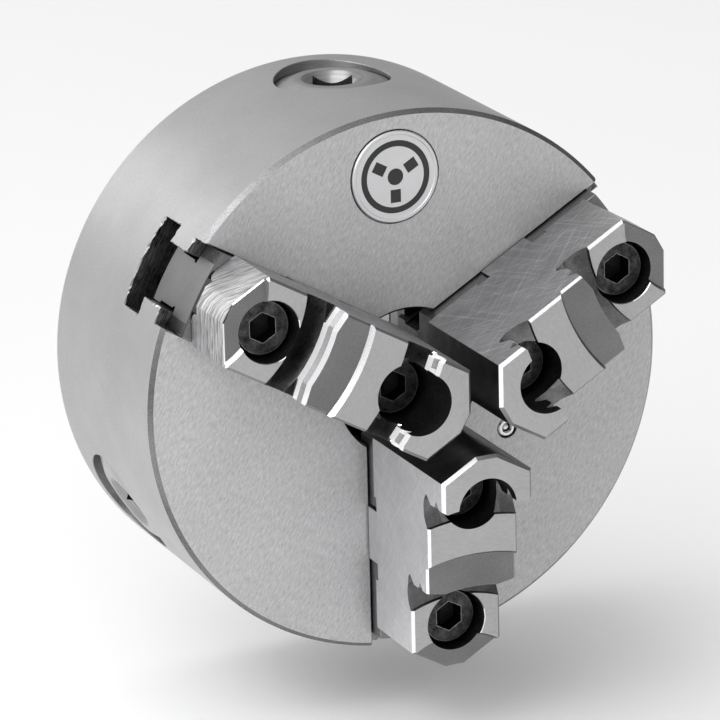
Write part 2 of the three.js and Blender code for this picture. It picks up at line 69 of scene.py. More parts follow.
BORE_R = 16.8
REGISTER_R = 47.5
REGISTER_DEPTH = 4
RIM_CHAMFER = 1
HUB_R = 24.5
CAVITY_FRONT = 17.2
GAP = 0.3
BADGE = (-2.1, 47.9)
BADGE_R = 10.4
OILER = (24.5, -15.1)
OILER_R = 2.1

# jaw slots, depths below the face
SLOT_FRONT_HALF = 10.3
SLOT_RIB_HALF = 6.65
SLOT_REAR_HALF = 10.8
RIB_FRONT = 4.4
RIB_REAR = 13.2
SLOT_DEPTH = 21.2
SLIDE = 0.25

# rear cover and screws
COVER_FRONT = -REGISTER_DEPTH - 6
COVER_SCREW_CIRCLE = 20.65
MOUNT_HOLE_CIRCLE = 54
PINION_SCREW_CIRCLE = 54.5
COVER_SCREW = {"head_r": 2.6, "head_len": 2.2, "shank_r": 1.9, "flats": 2.5, "depth": 1.6}
PINION_SCREW = {"head_r": 2.9, "head_len": 4.6, "shank_r": 1.9, "flats": 3, "depth": 2.4}
JAW_SCREW = {"head_r": 6.5, "head_len": 8, "shank_r": 3.9, "flats": 6, "depth": 4}

# scroll and pinions; the bevel gearing is drawn for each millimetre from the common apex
PITCH = 6  # jaw travel for one turn of the scroll
SCROLL_R = 47
SCROLL_REAR = 28.2
SPIRAL_START_R = 25.6
SPIRAL_TURNS = 3.4
SPIRAL_HEIGHT = 3.5
CROWN_TEETH, PINION_TEETH = 54, 12
CROWN_OUT = 45.6
RATIO = PINION_TEETH / CROWN_TEETH
MODULE = 2 * RATIO / PINION_TEETH
PRESSURE = math.radians(25)
TOOTH_FILL = 0.84  # part of a tooth's room that it fills, the rest is play
PINION_Y = FACE + 36.4
PINION_BORE_R = 13.25
PINION_HEAD_R = 12.95
PINION_END = 60.1
KEY_END = 61.6
KEY_FACE_R = 9.3
KEY_FLOOR = 45.1
KEY_HALF = 4.5
KEY_TURN = math.radians(-25)

# jaws, heights above the face
SEAT = 3.85
JAW_HALF = 10.85
NOSE_R, NOSE_HALF = 5.4, 2.5
TAIL_R, TAIL_HALF = 60.3, 2.3
MASTER_NOSE_R = 7.2
MASTER_TAIL_R = 59.2
JAW_TRAVEL = 18.1  # outwards from the place drawn
STEP_CENTRE = 72
STEP_A, STEP_C, STEP_D, STEP_E = 22.5, 30.4, 31.7, 39.2
RECESS = 21.4
WALL1, WALL2 = 16.46, 38.6
SCREWS = {"inner": (17.6, 16.4, 22), "outer": (49.6, 10.4, 16)}  # radius, floor height, shank
COUNTERBORE_R = 7
CROSS_MIDDLE = 33.6
CROSS_HALF = 6.34
RIB_HALF = 3.97
FIT = 0.15  # play of the jaws' tongues in their grooves


def above(height):
    return FACE - height


def below(depth):
    return FACE + depth


# ---------------------------------------------------------------- solids
def linked(name, data):
    made = bpy.data.objects.new(name, data)
    bpy.context.scene.collection.objects.link(made)
    return made


def edited(mesh, edit):
    bm = bmesh.new()
    bm.from_mesh(mesh)
    edit(bm)
    bm.to_mesh(mesh)
    bm.free()


def solid(verts, faces):
    mesh = bpy.data.meshes.new("solid")
    mesh.from_pydata([tuple(v) for v in verts], [], faces)
    edited(mesh, lambda bm: bmesh.ops.recalc_face_normals(bm, faces=bm.faces))
    return linked("solid", mesh)


def loft(rings, cyclic=False):
    """Joins rings of equally many points, and closes the ends unless the rings run in a circle."""
    n, m = len(rings[0]), len(rings)
    faces = []
    for k in range(m if cyclic else m - 1):
        a, b = k * n, ((k + 1) % m) * n
        faces += [(a + i, a + (i + 1) % n, b + (i + 1) % n, b + i) for i in range(n)]
    if not cyclic:
        faces += [tuple(range(n))[::-1], tuple(range((m - 1) * n, m * n))]
    return solid([p for ring in rings for p in ring], faces)


def circle(n, start=0.0):
    angles = [start + 2 * math.pi * i / n for i in range(n)]
    return [(math.cos(a), math.sin(a)) for a in angles]


def turned_y(profile, segments, centre=(0, 0), hollow=False):
    """A solid of revolution about an axis along Y. The profile is a list of (radius, y)."""
    x, z = centre
    return loft([[(x + r * c, y, z + r * s) for c, s in circle(segments)] for r, y in profile], hollow)


def turned_x(profile, segments):
    """A solid of revolution about the pinion's axis. The profile is a list of (x, radius)."""
    return loft([[(x, PINION_Y + r * c, r * s) for c, s in circle(segments)] for x, r in profile])


def prism_y(points, y0, y1):
    return loft([[(x, y, z) for x, z in points] for y in (y0, y1)])


def prism_x(points, x0, x1):
    return loft([[(x, y, z) for y, z in points] for x in (x0, x1)])


def block(x0, x1, y0, y1, z0, z1):
    return prism_y([(x0, z0), (x1, z0), (x1, z1), (x0, z1)], y0, y1)


def mirrored(points):
    return points + [(a, -b) for a, b in reversed(points)]


def at_angle(made, degrees):
    made.data.transform(Matrix.Rotation(-math.radians(degrees), 4, "Y"))
    return made


def boolean(target, tools, operation="DIFFERENCE"):
    for tool in tools:
        m = target.modifiers.new("boolean", "BOOLEAN")
        m.operation, m.solver, m.object = operation, "MANIFOLD", tool
    depsgraph = bpy.context.evaluated_depsgraph_get()
    mesh = bpy.data.meshes.new_from_object(target.evaluated_get(depsgraph))
    target.modifiers.clear()
    target.data = mesh
    for tool in tools:
        bpy.data.objects.remove(tool)
    return target


def cut(target, tools):
    return boolean(target, tools)


def union(first, *others):
    return boolean(first, list(others), "UNION")


def common(first, *others):
    return boolean(first, list(others), "INTERSECT")


# ---------------------------------------------------------------- materials
class Shader:
    """Builds one procedural material. Lengths in it are in millimetres of the piece's own frame."""

    def __init__(self, name):
        self.material = bpy.data.materials.new(name)
        self.material.use_nodes = True
        self.tree = self.material.node_tree
        self.bsdf = self.tree.nodes["Principled BSDF"]
        self.place = self.node("ShaderNodeAttribute")
        self.place.attribute_name = "place"

    def node(self, kind, **values):
        made = self.tree.nodes.new(kind)
        for key, value in values.items():
            setattr(made, key, value)
        return made

    def link(self, a, b):
        self.tree.links.new(a, b)

    def scaled(self, scale, rotation, source):
        """The source turned by rotation, in degrees, and then scaled."""
        vector = source or self.place.outputs["Vector"]
        for key, value in (("Rotation", [math.radians(a) for a in rotation]), ("Scale", scale)):
            mapping = self.node("ShaderNodeMapping")
            mapping.inputs[key].default_value = value
            self.link(vector, mapping.inputs["Vector"])
            vector = mapping.outputs["Vector"]
        return vector

    def noise(self, scale, rotation=(0, 0, 0), detail=4, rough=0.6, source=None, distortion=0.0):
        n = self.node("ShaderNodeTexNoise")
        n.inputs["Scale"].default_value = 1
        n.inputs["Detail"].default_value = detail
        n.inputs["Roughness"].default_value = rough
        n.inputs["Distortion"].default_value = distortion
        scale = (scale,) * 3 if isinstance(scale, (int, float)) else scale
        self.link(self.scaled(scale, rotation, source), n.inputs["Vector"])
        return n.outputs["Fac"]

    def spread(self, value, low, high, out_low=0.0, out_high=1.0):
        m = self.node("ShaderNodeMapRange")
        values = {"From Min": low, "From Max": high, "To Min": out_low, "To Max": out_high}
        for key, v in values.items():
            m.inputs[key].default_value = v
        self.link(value, m.inputs["Value"])
        return m.outputs["Result"]

    def math(self, operation, a, b=None):
        m = self.node("ShaderNodeMath", operation=operation)
        for socket, v in zip(m.inputs, (a, b)):
            if v is None:
                continue
            if isinstance(v, (int, float)):
                socket.default_value = v
            else:
                self.link(v, socket)
        return m.outputs["Value"]

    def total(self, *values):
        result = values[0]
        for v in values[1:]:
            result = self.math("ADD", result, v)
        return result

    def edge(self, radius=0.35, width=0.12):
        """1 where the surface is close to an outer or inner edge, fading to 0."""
        bevel = self.node("ShaderNodeBevel", samples=4)
        bevel.inputs["Radius"].default_value = radius * MM
        geometry = self.node("ShaderNodeNewGeometry")
        dot = self.node("ShaderNodeVectorMath", operation="DOT_PRODUCT")
        self.link(bevel.outputs["Normal"], dot.inputs[0])
        self.link(geometry.outputs["Normal"], dot.inputs[1])
        return self.spread(dot.outputs["Value"], 1 - width, 1.0, 1.0, 0.0)

    def colour(self, level, tint=(1.0, 1.0, 1.015)):
        """Base colour from a grey level."""
        c = self.node("ShaderNodeCombineColor")
        for channel, t in zip(("Red", "Green", "Blue"), tint):
            self.link(self.math("MULTIPLY", level, t) if t != 1 else level, c.inputs[channel])
        self.link(c.outputs["Color"], self.bsdf.inputs["Base Color"])

    def roughness(self, value):
        self.link(value, self.bsdf.inputs["Roughness"])

    def bump(self, height, distance, strength=1.0):
        """Relief of the surface; distance is in millimetres for a height of 1."""
        b = self.node("ShaderNodeBump")
        b.inputs["Strength"].default_value = strength
        b.inputs["Distance"].default_value = distance * MM
        self.link(height, b.inputs["Height"])
        self.link(b.outputs["Normal"], self.bsdf.inputs["Normal"])


def metal(
    name, level, rough, *, mottle=0.04, mottle_scale=0.06, grain=0.03, grain_scale=(3, 3, 3),
    grain_turn=(0, 0, 0), cross=None, relief=0.002, wear_and_glint=0.0, metallic=1.0, rough_change=0.06,
    scratches=0.0,
):
    """Machined metal: a grey level with slow mottling, a directional grain and brightened edges, partly rubbed
    metal and partly a painted glint.
    """
    s = Shader(name)
    s.bsdf.inputs["Metallic"].default_value = metallic
    slow = s.spread(s.noise(mottle_scale, detail=3), 0.3, 0.7, -mottle, mottle)
    fine_raw = s.noise(grain_scale, grain_turn, detail=3, rough=0.7)
    fine = s.spread(fine_raw, 0.25, 0.75, -grain, grain)
    height = fine_raw
    parts = [slow, fine]
    if cross is not None:
        scale, turn, amount = cross
        raw = s.noise(scale, turn, detail=3, rough=0.65)
        parts.append(s.spread(raw, 0.3, 0.7, -amount, amount))
        height = s.math("ADD", height, raw)
    for turn in (41, -37, 72, -12) if scratches else ():
        raw = s.noise((0.06, 3.6, 0.6), (0, 0, turn), detail=3, rough=0.55)
        parts.append(s.spread(raw, 0.57, 0.70, 0.0, scratches))
        height = s.math("SUBTRACT", height, s.spread(raw, 0.57, 0.70, 0.0, 1.0))
    level_out = s.math("ADD", level, s.total(*parts))
    if wear_and_glint:
        worn_and_glint = s.math("MULTIPLY", s.edge(), wear_and_glint)
        level_out = s.math("ADD", level_out, worn_and_glint)
    s.colour(s.math("MAXIMUM", level_out, 0.01))
    change = s.math("ADD", slow, fine)
    s.roughness(s.spread(change, -mottle - grain, mottle + grain, rough + rough_change, rough - rough_change))
    s.bump(height, relief)
    return s.material


def turned_metal(name, level, rough, pitch, axis="Y", depth=0.05, relief=0.006, mottle=0.04, wear_and_glint=0.0):
    """Metal cut on a lathe: rings about the spindle axis, or about a pinion's axis if axis is "X"."""
    s = Shader(name)
    s.bsdf.inputs["Metallic"].default_value = 1.0
    split = s.node("ShaderNodeSeparateXYZ")
    s.link(s.place.outputs["Vector"], split.inputs["Vector"])
    if axis == "Y":
        across, along = split.outputs["X"], split.outputs["Y"]
    else:
        across, along = s.math("SUBTRACT", split.outputs["Y"], PINION_Y), split.outputs["X"]
    z = split.outputs["Z"]
    radius = s.math("SQRT", s.math("ADD", s.math("MULTIPLY", across, across), s.math("MULTIPLY", z, z)))
    run = s.node("ShaderNodeCombineXYZ")
    s.link(s.math("MULTIPLY", radius, 1 / pitch), run.inputs["X"])
    s.link(s.math("MULTIPLY", along, 1 / pitch), run.inputs["Y"])
    rings = s.noise(1, detail=2, rough=0.7, source=run.outputs["Vector"])
    slow = s.spread(s.noise(0.08, detail=3), 0.3, 0.7, -mottle, mottle)
    level_out = s.total(s.math("ADD", level, s.spread(rings, 0.3, 0.7, -depth, depth)), slow)
    if wear_and_glint:
        level_out = s.math("ADD", level_out, s.math("MULTIPLY", s.edge(), wear_and_glint))
    s.colour(s.math("MAXIMUM", level_out, 0.01))
    s.roughness(s.spread(rings, 0.3, 0.7, rough + 0.07, rough - 0.07))
    s.bump(rings, relief)
    return s.material


def striped_metal(name, level, rough):
    """Saw marks of an unfinished end face: bright and dull stripes along Y, cut by fine cross lines."""
    s = Shader(name)
    s.bsdf.inputs["Metallic"].default_value = 1.0
    split = s.node("ShaderNodeSeparateXYZ")
    s.link(s.place.outputs["Vector"], split.inputs["Vector"])
    sheared = s.node("ShaderNodeCombineXYZ")
    s.link(split.outputs["X"], sheared.inputs["X"])
    lean = s.math("MULTIPLY", s.math("MINIMUM", split.outputs["Z"], 0.0), -0.8)
    s.link(s.math("ADD", split.outputs["Y"], lean), sheared.inputs["Y"])
    s.link(split.outputs["Z"], sheared.inputs["Z"])
    sheared = sheared.outputs["Vector"]
    wide = s.noise((0.2, 1.3, 0.10), (4, 0, 0), detail=3, rough=0.6, source=sheared, distortion=0.4)
    fine = s.noise((0.6, 4.5, 0.4), (-5, 0, 0), detail=3, rough=0.7, source=sheared)
    cross = s.noise((0.6, 3.0, 0.16), (24, 0, 0), detail=2, rough=0.6, source=sheared)
    level_out = s.total(
        s.math("ADD", level, s.spread(wide, 0.38, 0.62, -0.16, 0.2)),
        s.spread(fine, 0.3, 0.7, -0.12, 0.12),
        s.spread(cross, 0.5, 0.7, 0.0, 0.2),
    )
    s.colour(s.math("MAXIMUM", level_out, 0.05))
    s.roughness(s.spread(wide, 0.35, 0.65, rough + 0.1, rough - 0.1))
    s.bump(s.math("ADD", fine, cross), 0.02)
    return s.material


FINISHES = {
    "side": metal(
        "body_side", 0.42, 0.42, mottle=0.025, mottle_scale=0.05, grain=0.045,
        grain_scale=(2.6, 2.6, 2.6), relief=0.004, wear_and_glint=0.10, metallic=0.8,
    ),
    "face": metal(
        "body_face", 0.485, 0.45, mottle=0.02, mottle_scale=0.05, grain=0.13,
        grain_scale=(2.4, 2.4, 0.6), grain_turn=(0, -28, 0), cross=((3.0, 3.0, 3.0), (0, 12, 0), 0.03),
        relief=0.004, wear_and_glint=0.1, metallic=0.4,
    ),
    "rim": metal("body_rim_chamfer", 0.20, 0.32, grain=0.09, grain_scale=(3.4, 3.4, 3.4), relief=0.01),
    # Painted shade: slots and holes in the body get a dark grey for the shade inside them; the streaky milled
    # grain is the surface's own.
    "slot": metal(
        "body_slot", 0.15, 0.42, mottle=0.09, mottle_scale=0.22, grain=0.20,
        grain_scale=(3.2, 3.2, 0.35), grain_turn=(0, -30, 0), relief=0.03, wear_and_glint=0.12,
    ),
    "burr": metal(
        "body_slot_edge", 0.46, 0.36, mottle=0.2, mottle_scale=0.5, grain=0.22,
        grain_scale=(1.6, 1.6, 1.6), relief=0.03,
    ),
    # Painted shade: the central bore gets a dark grey for the shade inside it.
    "bore": turned_metal("body_bore_painted_shade", 0.13, 0.38, 0.35),
    "hole": turned_metal("body_pinion_bore", 0.27, 0.38, 0.25, mottle=0.08),
    "rear": turned_metal("body_rear", 0.46, 0.36, 0.3, depth=0.04, wear_and_glint=0.1),
    "cover": turned_metal("cover_turned", 0.30, 0.38, 0.4, depth=0.05, wear_and_glint=0.12),
    "jaw_top": metal(
        "jaw_step_ground", 0.43, 0.42, mottle=0.015, grain=0.035, grain_scale=(2.5, 2.5, 0.7),
        cross=((3.0, 3.0, 3.0), (0, 0, 0), 0.02), relief=0.003, wear_and_glint=0.05, metallic=0.85,
    ),
    "jaw_side": metal(
        "jaw_side_ground", 0.35, 0.40, mottle=0.05, mottle_scale=0.08, grain=0.05,
        grain_scale=(0.4, 2.8, 2.8), grain_turn=(0, 0, 38), relief=0.006, wear_and_glint=0.06, scratches=0.16,
    ),
    # Painted light: a lighter copy of the jaw side finish, used only on jaw 3, whose sides face the lights.
    "jaw_side_lit_copy": metal(
        "jaw_side_painted_light", 0.62, 0.46, mottle=0.04, mottle_scale=0.08, grain=0.05,
        grain_scale=(0.4, 2.8, 2.8), grain_turn=(0, 0, -40), relief=0.006, wear_and_glint=0.08, scratches=0.09,
        metallic=0.85,
    ),
    # Painted shade: the nose faces, which face the other jaws and the bore, are near-black for the shade there.
    "jaw_nose": metal("jaw_nose_painted_shade", 0.085, 0.36, mottle=0.03, mottle_scale=0.2, grain=0.02, wear_and_glint=0.03),
    "jaw_dark": metal(
        "jaw_step_unground", 0.21, 0.50, mottle=0.02, grain=0.04, grain_scale=(2.8, 2.8, 2.8),
        relief=0.008, wear_and_glint=0.06,
    ),
    # Painted highlight: chamfers and flares facing the upper left are near-white for the light they catch.
    "jaw_bright": metal("jaw_chamfer_painted_highlight", 0.88, 0.25, mottle=0.03, grain=0.05, relief=0.003),
    # Painted shade: the same chamfers facing away get a dull dark grey.
    "jaw_edge": metal("jaw_edge_painted_shade", 0.24, 0.42, mottle=0.02, grain=0.04, relief=0.003),
    # Painted light: a near-white, mostly diffuse copy of the jaw steel makes the turned walls look brightly
    # lit.
    "jaw_wall": metal(
        "jaw_wall_turned_painted_light", 0.90, 0.34, mottle=0.03, grain=0.08, grain_scale=(3.0, 3.0, 3.0),
        relief=0.006, metallic=0.25,
    ),
    "jaw_notch": metal(
        "jaw_notch_turned", 0.33, 0.34, mottle=0.04, grain=0.08, grain_scale=(3.0, 3.0, 3.0),
        relief=0.006, metallic=0.8,
    ),
    # Painted shade: grooves, notches and other hollow faces of the top jaw get a dark grey for the shade in
    # them.
    "jaw_groove": metal(
        "jaw_groove", 0.15, 0.42, mottle=0.05, mottle_scale=0.2, grain=0.05, relief=0.006, wear_and_glint=0.06,
    ),
    # Painted shade: a darker copy of the groove finish, used only on jaw 2.
    "jaw_groove_shaded_copy": metal(
        "jaw_groove_painted_shade", 0.045, 0.45, mottle=0.03, mottle_scale=0.25, grain=0.02, relief=0.006,
        wear_and_glint=0.04,
    ),
    "jaw_tail": striped_metal("jaw_end_rough", 0.40, 0.40),
    # Painted shade: counterbores and screw holes of the jaws get a dark grey for the shade inside them; the
    # turning rings are the surface's own.
    "counterbore": turned_metal("jaw_counterbore_painted_shade", 0.12, 0.36, 0.5, depth=0.07, relief=0.02),
    # Painted shade: the top jaw's low faces beside the seat get a dark grey for the shade under the jaw.
    "under": metal("jaw_underside_painted_shade", 0.14, 0.42, grain=0.05, grain_scale=(0.4, 3, 3), relief=0.005),
    "master": metal(
        "master_jaw_ground", 0.24, 0.40, mottle=0.03, grain=0.04, grain_scale=(0.4, 3, 3), relief=0.003,
        wear_and_glint=0.10,
    ),
    "master_end": metal("master_jaw_end", 0.23, 0.48, mottle=0.015, grain=0.02, relief=0.003),
    # Painted shade: master jaw faces down in the slot, the wing ends and the pinion socket walls get a dark
    # grey for the shade there; the milled grain and brightened edges are the surface's own.
    "master_dark": metal(
        "master_jaw_milled_painted_shade", 0.10, 0.42, mottle=0.05, mottle_scale=0.2, grain=0.07,
        grain_scale=(0.3, 3, 3), relief=0.012, wear_and_glint=0.08,
    ),
    # Black oxide; its strongly brightened edges stand partly for rubbed oxide and partly for a painted glint on
    # the head rims and socket edges.
    "black": metal(
        "screw_black_oxide", 0.045, 0.34, mottle=0.03, mottle_scale=0.7, grain=0.025,
        grain_scale=(4, 4, 4), relief=0.012, wear_and_glint=0.3, metallic=0.9, rough_change=0.12,
    ),
    # Painted shade: near-black for the shade deep in hexagon and square sockets, below the oxide's own dark
    # grey.
    "socket": metal("screw_socket_painted_shade", 0.008, 0.45, mottle=0.003, grain=0.004, wear_and_glint=0.02, metallic=0.8),
    "pinion": turned_metal("pinion_steel", 0.40, 0.34, 0.22, axis="X", depth=0.04, wear_and_glint=0.2),
    "cone": turned_metal("pinion_mouth", 0.30, 0.28, 0.3, axis="X", depth=0.06, relief=0.002),
    "gear": metal(
        "gear_steel", 0.34, 0.36, grain=0.05, grain_scale=(0.4, 2.5, 2.5), relief=0.006, wear_and_glint=0.15,
    ),
    "scroll": turned_metal("scroll_steel", 0.33, 0.34, 0.35, depth=0.05, wear_and_glint=0.15),
    "plate": metal(
        "badge_plate", 0.66, 0.36, mottle=0.02, grain=0.03, grain_scale=(3, 3, 3), relief=0.001,
        metallic=0.7,
    ),
    "print": metal("badge_print", 0.02, 0.45, mottle=0.004, grain=0.004, metallic=0.0),
    "polished": metal("oiler_steel", 0.66, 0.2, mottle=0.04, grain=0.03, wear_and_glint=0.1),
    # Painted shadow: near-black for faces deep in shade, in the jaws' mouths, on the master jaws' tail chamfers
    # and inside the oiler seat.
    "shadow": metal("painted_shadow", 0.05, 0.5, mottle=0.02, grain=0.02),
}


def finished(name, made, body, replaced, pick, angle=0, sharp=30, smooth=True):
    """Turns a solid into a piece: materials by face, local coordinates for the textures, metres, its place."""
    mesh = made.data

    def clean(bm):
        bmesh.ops.remove_doubles(bm, verts=bm.verts, dist=1e-5)
        bmesh.ops.dissolve_degenerate(bm, dist=1e-5, edges=bm.edges)

    def split(bm):
        bmesh.ops.triangulate(bm, faces=[face for face in bm.faces if len(face.verts) > 4])

    edited(mesh, clean)
    mesh.materials.clear()
    used = []
    for face in mesh.polygons:
        key = pick(face.center, face.normal)
        if key not in used:
            used.append(key)
            mesh.materials.append(FINISHES[key])
        face.material_index = used.index(key)
    edited(mesh, split)
    coords = np.empty(len(mesh.vertices) * 3, np.float32)
    mesh.vertices.foreach_get("co", coords)
    offset = np.array([17.0 * (angle % 7), 0.0, 0.0], np.float32)  # like pieces differ in their marks
    place = mesh.attributes.new("place", "FLOAT_VECTOR", "POINT")
    place.data.foreach_set("vector", (coords.reshape(-1, 3) + offset).ravel())
    mesh.transform(Matrix.Scale(MM, 4) @ Matrix.Rotation(-math.radians(angle), 4, "Y"))
    if smooth:
        mesh.shade_smooth()
        mesh.set_sharp_from_angle(angle=math.radians(sharp))
    made.name = mesh.name = name
    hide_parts(*replaced)
    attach(made, body)
    return made


# ---------------------------------------------------------------- body
def surface_x(z, r=BODY_R):
    return math.sqrt(r * r - z * z)


def slot_outline(grow=0.0):
    """Half width of the T slot by depth; grow widens the opening on all sides."""
    g = grow
    side = [
        (FACE - 1, SLOT_FRONT_HALF + 1.3 + g),
        (below(0.3), SLOT_FRONT_HALF + g),
        (below(RIB_FRONT) + g, SLOT_FRONT_HALF + g),
        (below(RIB_FRONT) + g, SLOT_RIB_HALF + g),
        (below(RIB_REAR) - g, SLOT_RIB_HALF + g),
        (below(RIB_REAR) - g, SLOT_REAR_HALF + g),
        (below(SLOT_DEPTH) + g, SLOT_REAR_HALF + g),
    ]
    side += [(below(SLOT_DEPTH) + g, SLOT_REAR_HALF * k / 6) for k in (5, 4, 3, 2, 1)]
    return mirrored(side)


def slot_cutter():
    """The slot's opening in the round side is broken by hand, so its edge is uneven."""
    plain, wide = slot_outline(), slot_outline(1.2)
    rings = [[], [], [], []]
    for i in range(len(plain)):
        ends = [(outline[i], outline[(i + 1) % len(plain)]) for outline in (plain, wide)]
        steps = max(1, round(math.dist(*ends[0]) / 0.7))
        for k in range(steps):
            (y, z), (wide_y, wide_z) = [(a[0] + (b[0] - a[0]) * k / steps, a[1] + (b[1] - a[1]) * k / steps)
                                        for a, b in ends]
            wander = 0.22 + 0.16 * RANDOM.uniform(-1, 1) + (0.3 if RANDOM.random() > 0.86 else 0)
            rings[0].append((0, y, z))
            rings[1].append((surface_x(z) - wander, y, z))
            rings[2].append((surface_x(z) - wander + 1.2, wide_y, wide_z))
            rings[3].append((BODY_R + 3, wide_y, wide_z))
    return loft(rings)


def pinion_hole_cutter():
    r, wide = PINION_BORE_R, PINION_BORE_R + 1.1
    rings = [[], [], [], []]
    for c, s in circle(96):
        edge = surface_x(r * s)
        places = ((r, REGISTER_R - 1), (r, edge - 0.2), (wide, edge + 0.9), (wide, BODY_R + 3))
        for ring, (radius, x) in zip(rings, places):
            ring.append((x, PINION_Y + radius * c, radius * s))
    return loft(rings)


def make_body():
    hub_end = COVER_FRONT - GAP
    profile = [
        (BORE_R + 0.6, FACE), (BODY_R - RIM_CHAMFER, FACE), (BODY_R, FACE + RIM_CHAMFER),
        (BODY_R, -RIM_CHAMFER), (BODY_R - RIM_CHAMFER, 0), (REGISTER_R + 0.4, 0), (REGISTER_R, -0.4),
        (REGISTER_R, below(CAVITY_FRONT)), (HUB_R, below(CAVITY_FRONT)), (HUB_R, hub_end),
        (BORE_R + 0.5, hub_end), (BORE_R, hub_end - 0.5), (BORE_R, FACE + 0.6),
    ]
    made = turned_y(profile, 360, hollow=True)
    tools = []
    for angle in JAWS.values():
        tools.append(at_angle(slot_cutter(), angle))
        screw_hole = [(2.2, -22), (2.2, hub_end + 1)]
        tools.append(at_angle(turned_y(screw_hole, 32, (COVER_SCREW_CIRCLE, 0)), angle))
        mount_hole = [(0.3, -18), (3.4, -16), (3.4, -0.6), (4.4, 0.4)]
        tools.append(at_angle(turned_y(mount_hole, 48, (MOUNT_HOLE_CIRCLE, 0)), angle))
    for angle in PINIONS.values():
        tools.append(at_angle(pinion_hole_cutter(), angle))
        tools.append(at_angle(turned_x([(19.5, 4.75), (HUB_R + 1, 4.75)], 48), angle))
        screw_hole = [(3.2, PINION_Y), (3.2, -0.4), (4.2, 0.6)]
        tools.append(at_angle(turned_y(screw_hole, 48, (PINION_SCREW_CIRCLE, 0)), angle))
    r = OILER_R + GAP
    tools.append(turned_y([(r, below(CAVITY_FRONT + 1)), (r, below(0.15)), (r + 1, above(0.85))], 48, OILER))
    r = BADGE_R + GAP
    tools.append(turned_y([(r, below(0.5)), (r, below(0.1)), (r + 0.9, above(0.8))], 128, BADGE))
    return cut(made, tools)


def turned_back(c, angle):
    """Distances of a point along and across the direction that lies at angle."""
    a = math.radians(angle)
    return c.x * math.cos(a) + c.z * math.sin(a), c.z * math.cos(a) - c.x * math.sin(a)


def body_face(c, n):
    r = math.hypot(c.x, c.z)
    out = (n.x * c.x + n.z * c.z) / max(r, 1e-6)
    if n.y < -0.99 and c.y < FACE + 0.05:
        return "face"
    if n.y > 0.99 and c.y > -0.05:
        return "rear"
    if r > BODY_R - 0.15 and out > 0.97:
        return "side"
    if r > BODY_R - RIM_CHAMFER - 0.1 and abs(n.y) > 0.6 and out > 0.6:
        return "rim"
    # The bore gets painted shade.
    if r < BORE_R + 0.7 and out < -0.5:
        return "bore"
    for angle in PINIONS.values():
        along, across = turned_back(c, angle)
        if along > REGISTER_R and math.hypot(across, c.y - PINION_Y) < PINION_BORE_R + 0.6:
            return "hole"
    if r > surface_x(11.5) - 0.4 and c.y < below(SLOT_DEPTH + 1) and out > 0.3:
        if min(abs(turned_back(c, angle)[1]) for angle in JAWS.values()) < 12:
            return "burr"
    if -0.9 < n.y < -0.4 and c.y < FACE + 0.32:
        return "burr"
    if c.y > below(SLOT_DEPTH + 2):
        return "rear"
    # All remaining faces lie in slots and holes and take the slot finish's painted shade.
    return "slot"


finished("chuck_body_shell", make_body(), "chuck_body", ["body"], body_face)


# ---------------------------------------------------------------- rear cover and screws
def make_cover():
    back, outer = -REGISTER_DEPTH, REGISTER_R - GAP
    profile = [
        (BORE_R, COVER_FRONT), (outer, COVER_FRONT), (outer, back - 0.5), (outer - 0.5, back),
        (34, back), (33.6, back - 0.4), (28, back - 0.4), (27.6, back),
        (BORE_R + 0.5, back), (BORE_R, back - 0.5),
    ]
    made = turned_y(profile, 240, hollow=True)
    tools = []
    for angle in PINIONS.values():
        relief = turned_x([(32, PINION_HEAD_R - 1), (REGISTER_R + 1, PINION_HEAD_R - 1)], 64)
        tools.append(at_angle(relief, angle))
    for angle in JAWS.values():
        hole = [(2.2, COVER_FRONT - 1), (2.2, back - 2.9), (2.9, back - 2.9), (2.9, back - 0.3),
                (3.4, back + 0.2)]
        tools.append(at_angle(turned_y(hole, 48, (COVER_SCREW_CIRCLE, 0)), angle))
    return cut(made, tools)


def hexagon_socket(flats, depth, centre):
    """Cutters for a hexagon socket that opens towards lower y than 0, with its corners left sharp."""
    r = flats / 2 / COS30
    hexagon = turned_y([(0.2, depth + 1.2), (r * 0.98, depth), (r, depth), (r, -1)], 6, centre)
    mouth = turned_y([(flats / 2 - 0.3, 0.35), (flats / 2 + 0.35, -0.3)], 48, centre)
    return [hexagon, mouth]


def knurled(radius, length, centre, grooves=48, depth=0.14):
    """A screw head with a chamfered, grooved side."""
    rings = []
    levels = ((0, 0.55, 0), (0.55, 0, depth), (length - 0.25, 0, depth), (length, 0, 0.4 * depth))
    for y, chamfer, groove_depth in levels:
        radii = [radius - chamfer, radius - chamfer - groove_depth] * grooves
        rings.append([(centre[0] + r * c, y, centre[1] + r * s)
                      for r, (c, s) in zip(radii, circle(2 * grooves))])
    return loft(rings)


def socket_screw(kind, radius, top, shank_len, flip=False):
    """A screw at (radius, 0). Its head's top is at y = top and looks towards -Y, or +Y if flipped."""
    centre, head_len, shank_r = (radius, 0), kind["head_len"], kind["shank_r"]
    end = head_len + shank_len
    shank = turned_y([(shank_r, head_len - 0.5), (shank_r, end - 0.8), (shank_r - 0.8, end)], 48, centre)
    made = union(knurled(kind["head_r"], head_len, centre), shank)
    made = cut(made, hexagon_socket(kind["flats"], kind["depth"], centre))
    if flip:
        made.data.transform(Matrix.Scale(-1, 4, Vector((0, 1, 0))))
        made.data.flip_normals()
    made.data.transform(Matrix.Translation((0, top, 0)))
    return made


def add_screw(name, kind, radius, top, shank_len, body, node, angle, flip=False):
    hex_r = kind["flats"] / 2 / COS30
    down = -1 if flip else 1

    def pick(c, n):
        inside = math.hypot(c.x - radius, c.z) < hex_r
        # Deep inside the hexagon socket the faces get painted shade.
        return "socket" if inside and (c.y - top) * down > 0.3 else "black"

    screw = socket_screw(kind, radius, top, shank_len, flip)
    finished(name, screw, body, [node], pick, angle)


